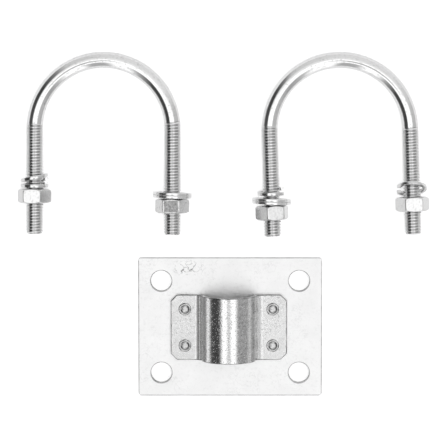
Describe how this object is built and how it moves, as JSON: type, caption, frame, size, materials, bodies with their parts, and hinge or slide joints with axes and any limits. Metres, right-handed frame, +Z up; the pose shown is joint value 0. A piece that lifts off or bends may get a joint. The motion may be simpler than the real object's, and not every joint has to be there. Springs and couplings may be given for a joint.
{
  "type": "u-bolt clamp kit",
  "caption": "U-bolt pipe clamp set: threaded round-bend U-bolts with nuts and washers, and a drilled plate with a spot-welded half-round saddle.",
  "frame": {"origin": "centre of the mounting plate's underside, on the table", "axes": "+X along the plate's long side, +Y from the plate towards the U-bolts, +Z up from the table"},
  "size_m": [0.1781, 0.1503, 0.0171],
  "materials": {
    "u_rod": "bright zinc plating",
    "nut": "bright zinc plating",
    "flat_washer": "bright zinc plating",
    "spring_washer": "zinc-plated spring steel",
    "base_plate": "satin zinc plating with fine scuffs",
    "saddle": "bright zinc plating, lightly speckled",
    "spot_weld": "weld mark in zinc-plated steel"
  },
  "bodies": {
    "mounting_plate": {"base_plate": "base_plate", "saddle": "saddle", "spot_weld_1": "spot_weld", "spot_weld_2": "spot_weld", "spot_weld_3": "spot_weld", "spot_weld_4": "spot_weld"},
    "u_bolt_a": {"u_rod_a": "u_rod"},
    "u_bolt_b": {"u_rod_b": "u_rod"},
    "spring_washer_a_left_1": {"spring_washer_a_left_1": "spring_washer"},
    "spring_washer_a_left_2": {"spring_washer_a_left_2": "spring_washer"},
    "nut_a_left": {"nut_a_left": "nut"},
    "flat_washer_a_right_1": {"flat_washer_a_right_1": "flat_washer"},
    "flat_washer_a_right_2": {"flat_washer_a_right_2": "flat_washer"},
    "nut_a_right": {"nut_a_right": "nut"},
    "flat_washer_b_left_1": {"flat_washer_b_left_1": "flat_washer"},
    "flat_washer_b_left_2": {"flat_washer_b_left_2": "flat_washer"},
    "spring_washer_b_left": {"spring_washer_b_left": "spring_washer"},
    "nut_b_left": {"nut_b_left": "nut"},
    "spring_washer_b_right": {"spring_washer_b_right": "spring_washer"},
    "nut_b_right": {"nut_b_right": "nut"}
  },
  "joints": [
    {"name": "u_bolt_a_lift", "type": "slide", "parent": "mounting_plate", "child": "u_bolt_a", "axis": [0, 0, 1], "range_m": [0, 0.1]},
    {"name": "u_bolt_b_lift", "type": "slide", "parent": "mounting_plate", "child": "u_bolt_b", "axis": [0, 0, 1], "range_m": [0, 0.1]},
    {"name": "nut_a_left_travel", "type": "slide", "parent": "u_bolt_a", "child": "spring_washer_a_left_1", "axis": [0.0052, 0.9974, -0.0715], "range_m": [-0.01313, 0.0125]},
    {"name": "nut_a_left_spin", "type": "hinge", "parent": "spring_washer_a_left_1", "child": "nut_a_left", "pos_m": [-0.08446, 0.05789, 0.00718], "axis": [0.0052, 0.9974, -0.0715], "range_deg": [-3780, 3600]},
    {"name": "spring_washer_a_left_2_slide", "type": "slide", "parent": "spring_washer_a_left_1", "child": "spring_washer_a_left_2", "axis": [0.0052, 0.9974, -0.0715], "range_m": [0, 0.005]},
    {"name": "nut_a_right_travel", "type": "slide", "parent": "u_bolt_a", "child": "flat_washer_a_right_1", "axis": [0.0052, 0.9974, -0.0715], "range_m": [-0.00938, 0.01875]},
    {"name": "nut_a_right_spin", "type": "hinge", "parent": "flat_washer_a_right_1", "child": "nut_a_right", "pos_m": [-0.02504, 0.05369, 0.00892], "axis": [0.0052, 0.9974, -0.0715], "range_deg": [-2700, 5400]},
    {"name": "flat_washer_a_right_2_slide", "type": "slide", "parent": "flat_washer_a_right_1", "child": "flat_washer_a_right_2", "axis": [0.0052, 0.9974, -0.0715], "range_m": [0, 0.006]},
    {"name": "nut_b_left_travel", "type": "slide", "parent": "u_bolt_b", "child": "flat_washer_b_left_1", "axis": [-0.0307, 0.9974, -0.0647], "range_m": [-0.00625, 0.0125]},
    {"name": "nut_b_left_spin", "type": "hinge", "parent": "flat_washer_b_left_1", "child": "nut_b_left", "pos_m": [0.018, 0.05077, 0.0089], "axis": [-0.0307, 0.9974, -0.0647], "range_deg": [-1800, 3600]},
    {"name": "flat_washer_b_left_2_slide", "type": "slide", "parent": "flat_washer_b_left_1", "child": "flat_washer_b_left_2", "axis": [-0.0307, 0.9974, -0.0647], "range_m": [0, 0.006]},
    {"name": "spring_washer_b_left_slide", "type": "slide", "parent": "flat_washer_b_left_2", "child": "spring_washer_b_left", "axis": [-0.0307, 0.9974, -0.0647], "range_m": [0, 0.005]},
    {"name": "nut_b_right_travel", "type": "slide", "parent": "u_bolt_b", "child": "spring_washer_b_right", "axis": [-0.0307, 0.9974, -0.0647], "range_m": [-0.00938, 0.02063]},
    {"name": "nut_b_right_spin", "type": "hinge", "parent": "spring_washer_b_right", "child": "nut_b_right", "pos_m": [0.07865, 0.05427, 0.00693], "axis": [-0.0307, 0.9974, -0.0647], "range_deg": [-2700, 5940]}
  ],
  "couplings": [
    {"joint": "nut_a_left_travel", "follows": "nut_a_left_spin", "m_per_rad": 0.00019894},
    {"joint": "nut_a_right_travel", "follows": "nut_a_right_spin", "m_per_rad": 0.00019894},
    {"joint": "nut_b_left_travel", "follows": "nut_b_left_spin", "m_per_rad": 0.00019894},
    {"joint": "nut_b_right_travel", "follows": "nut_b_right_spin", "m_per_rad": 0.00019894}
  ]
}
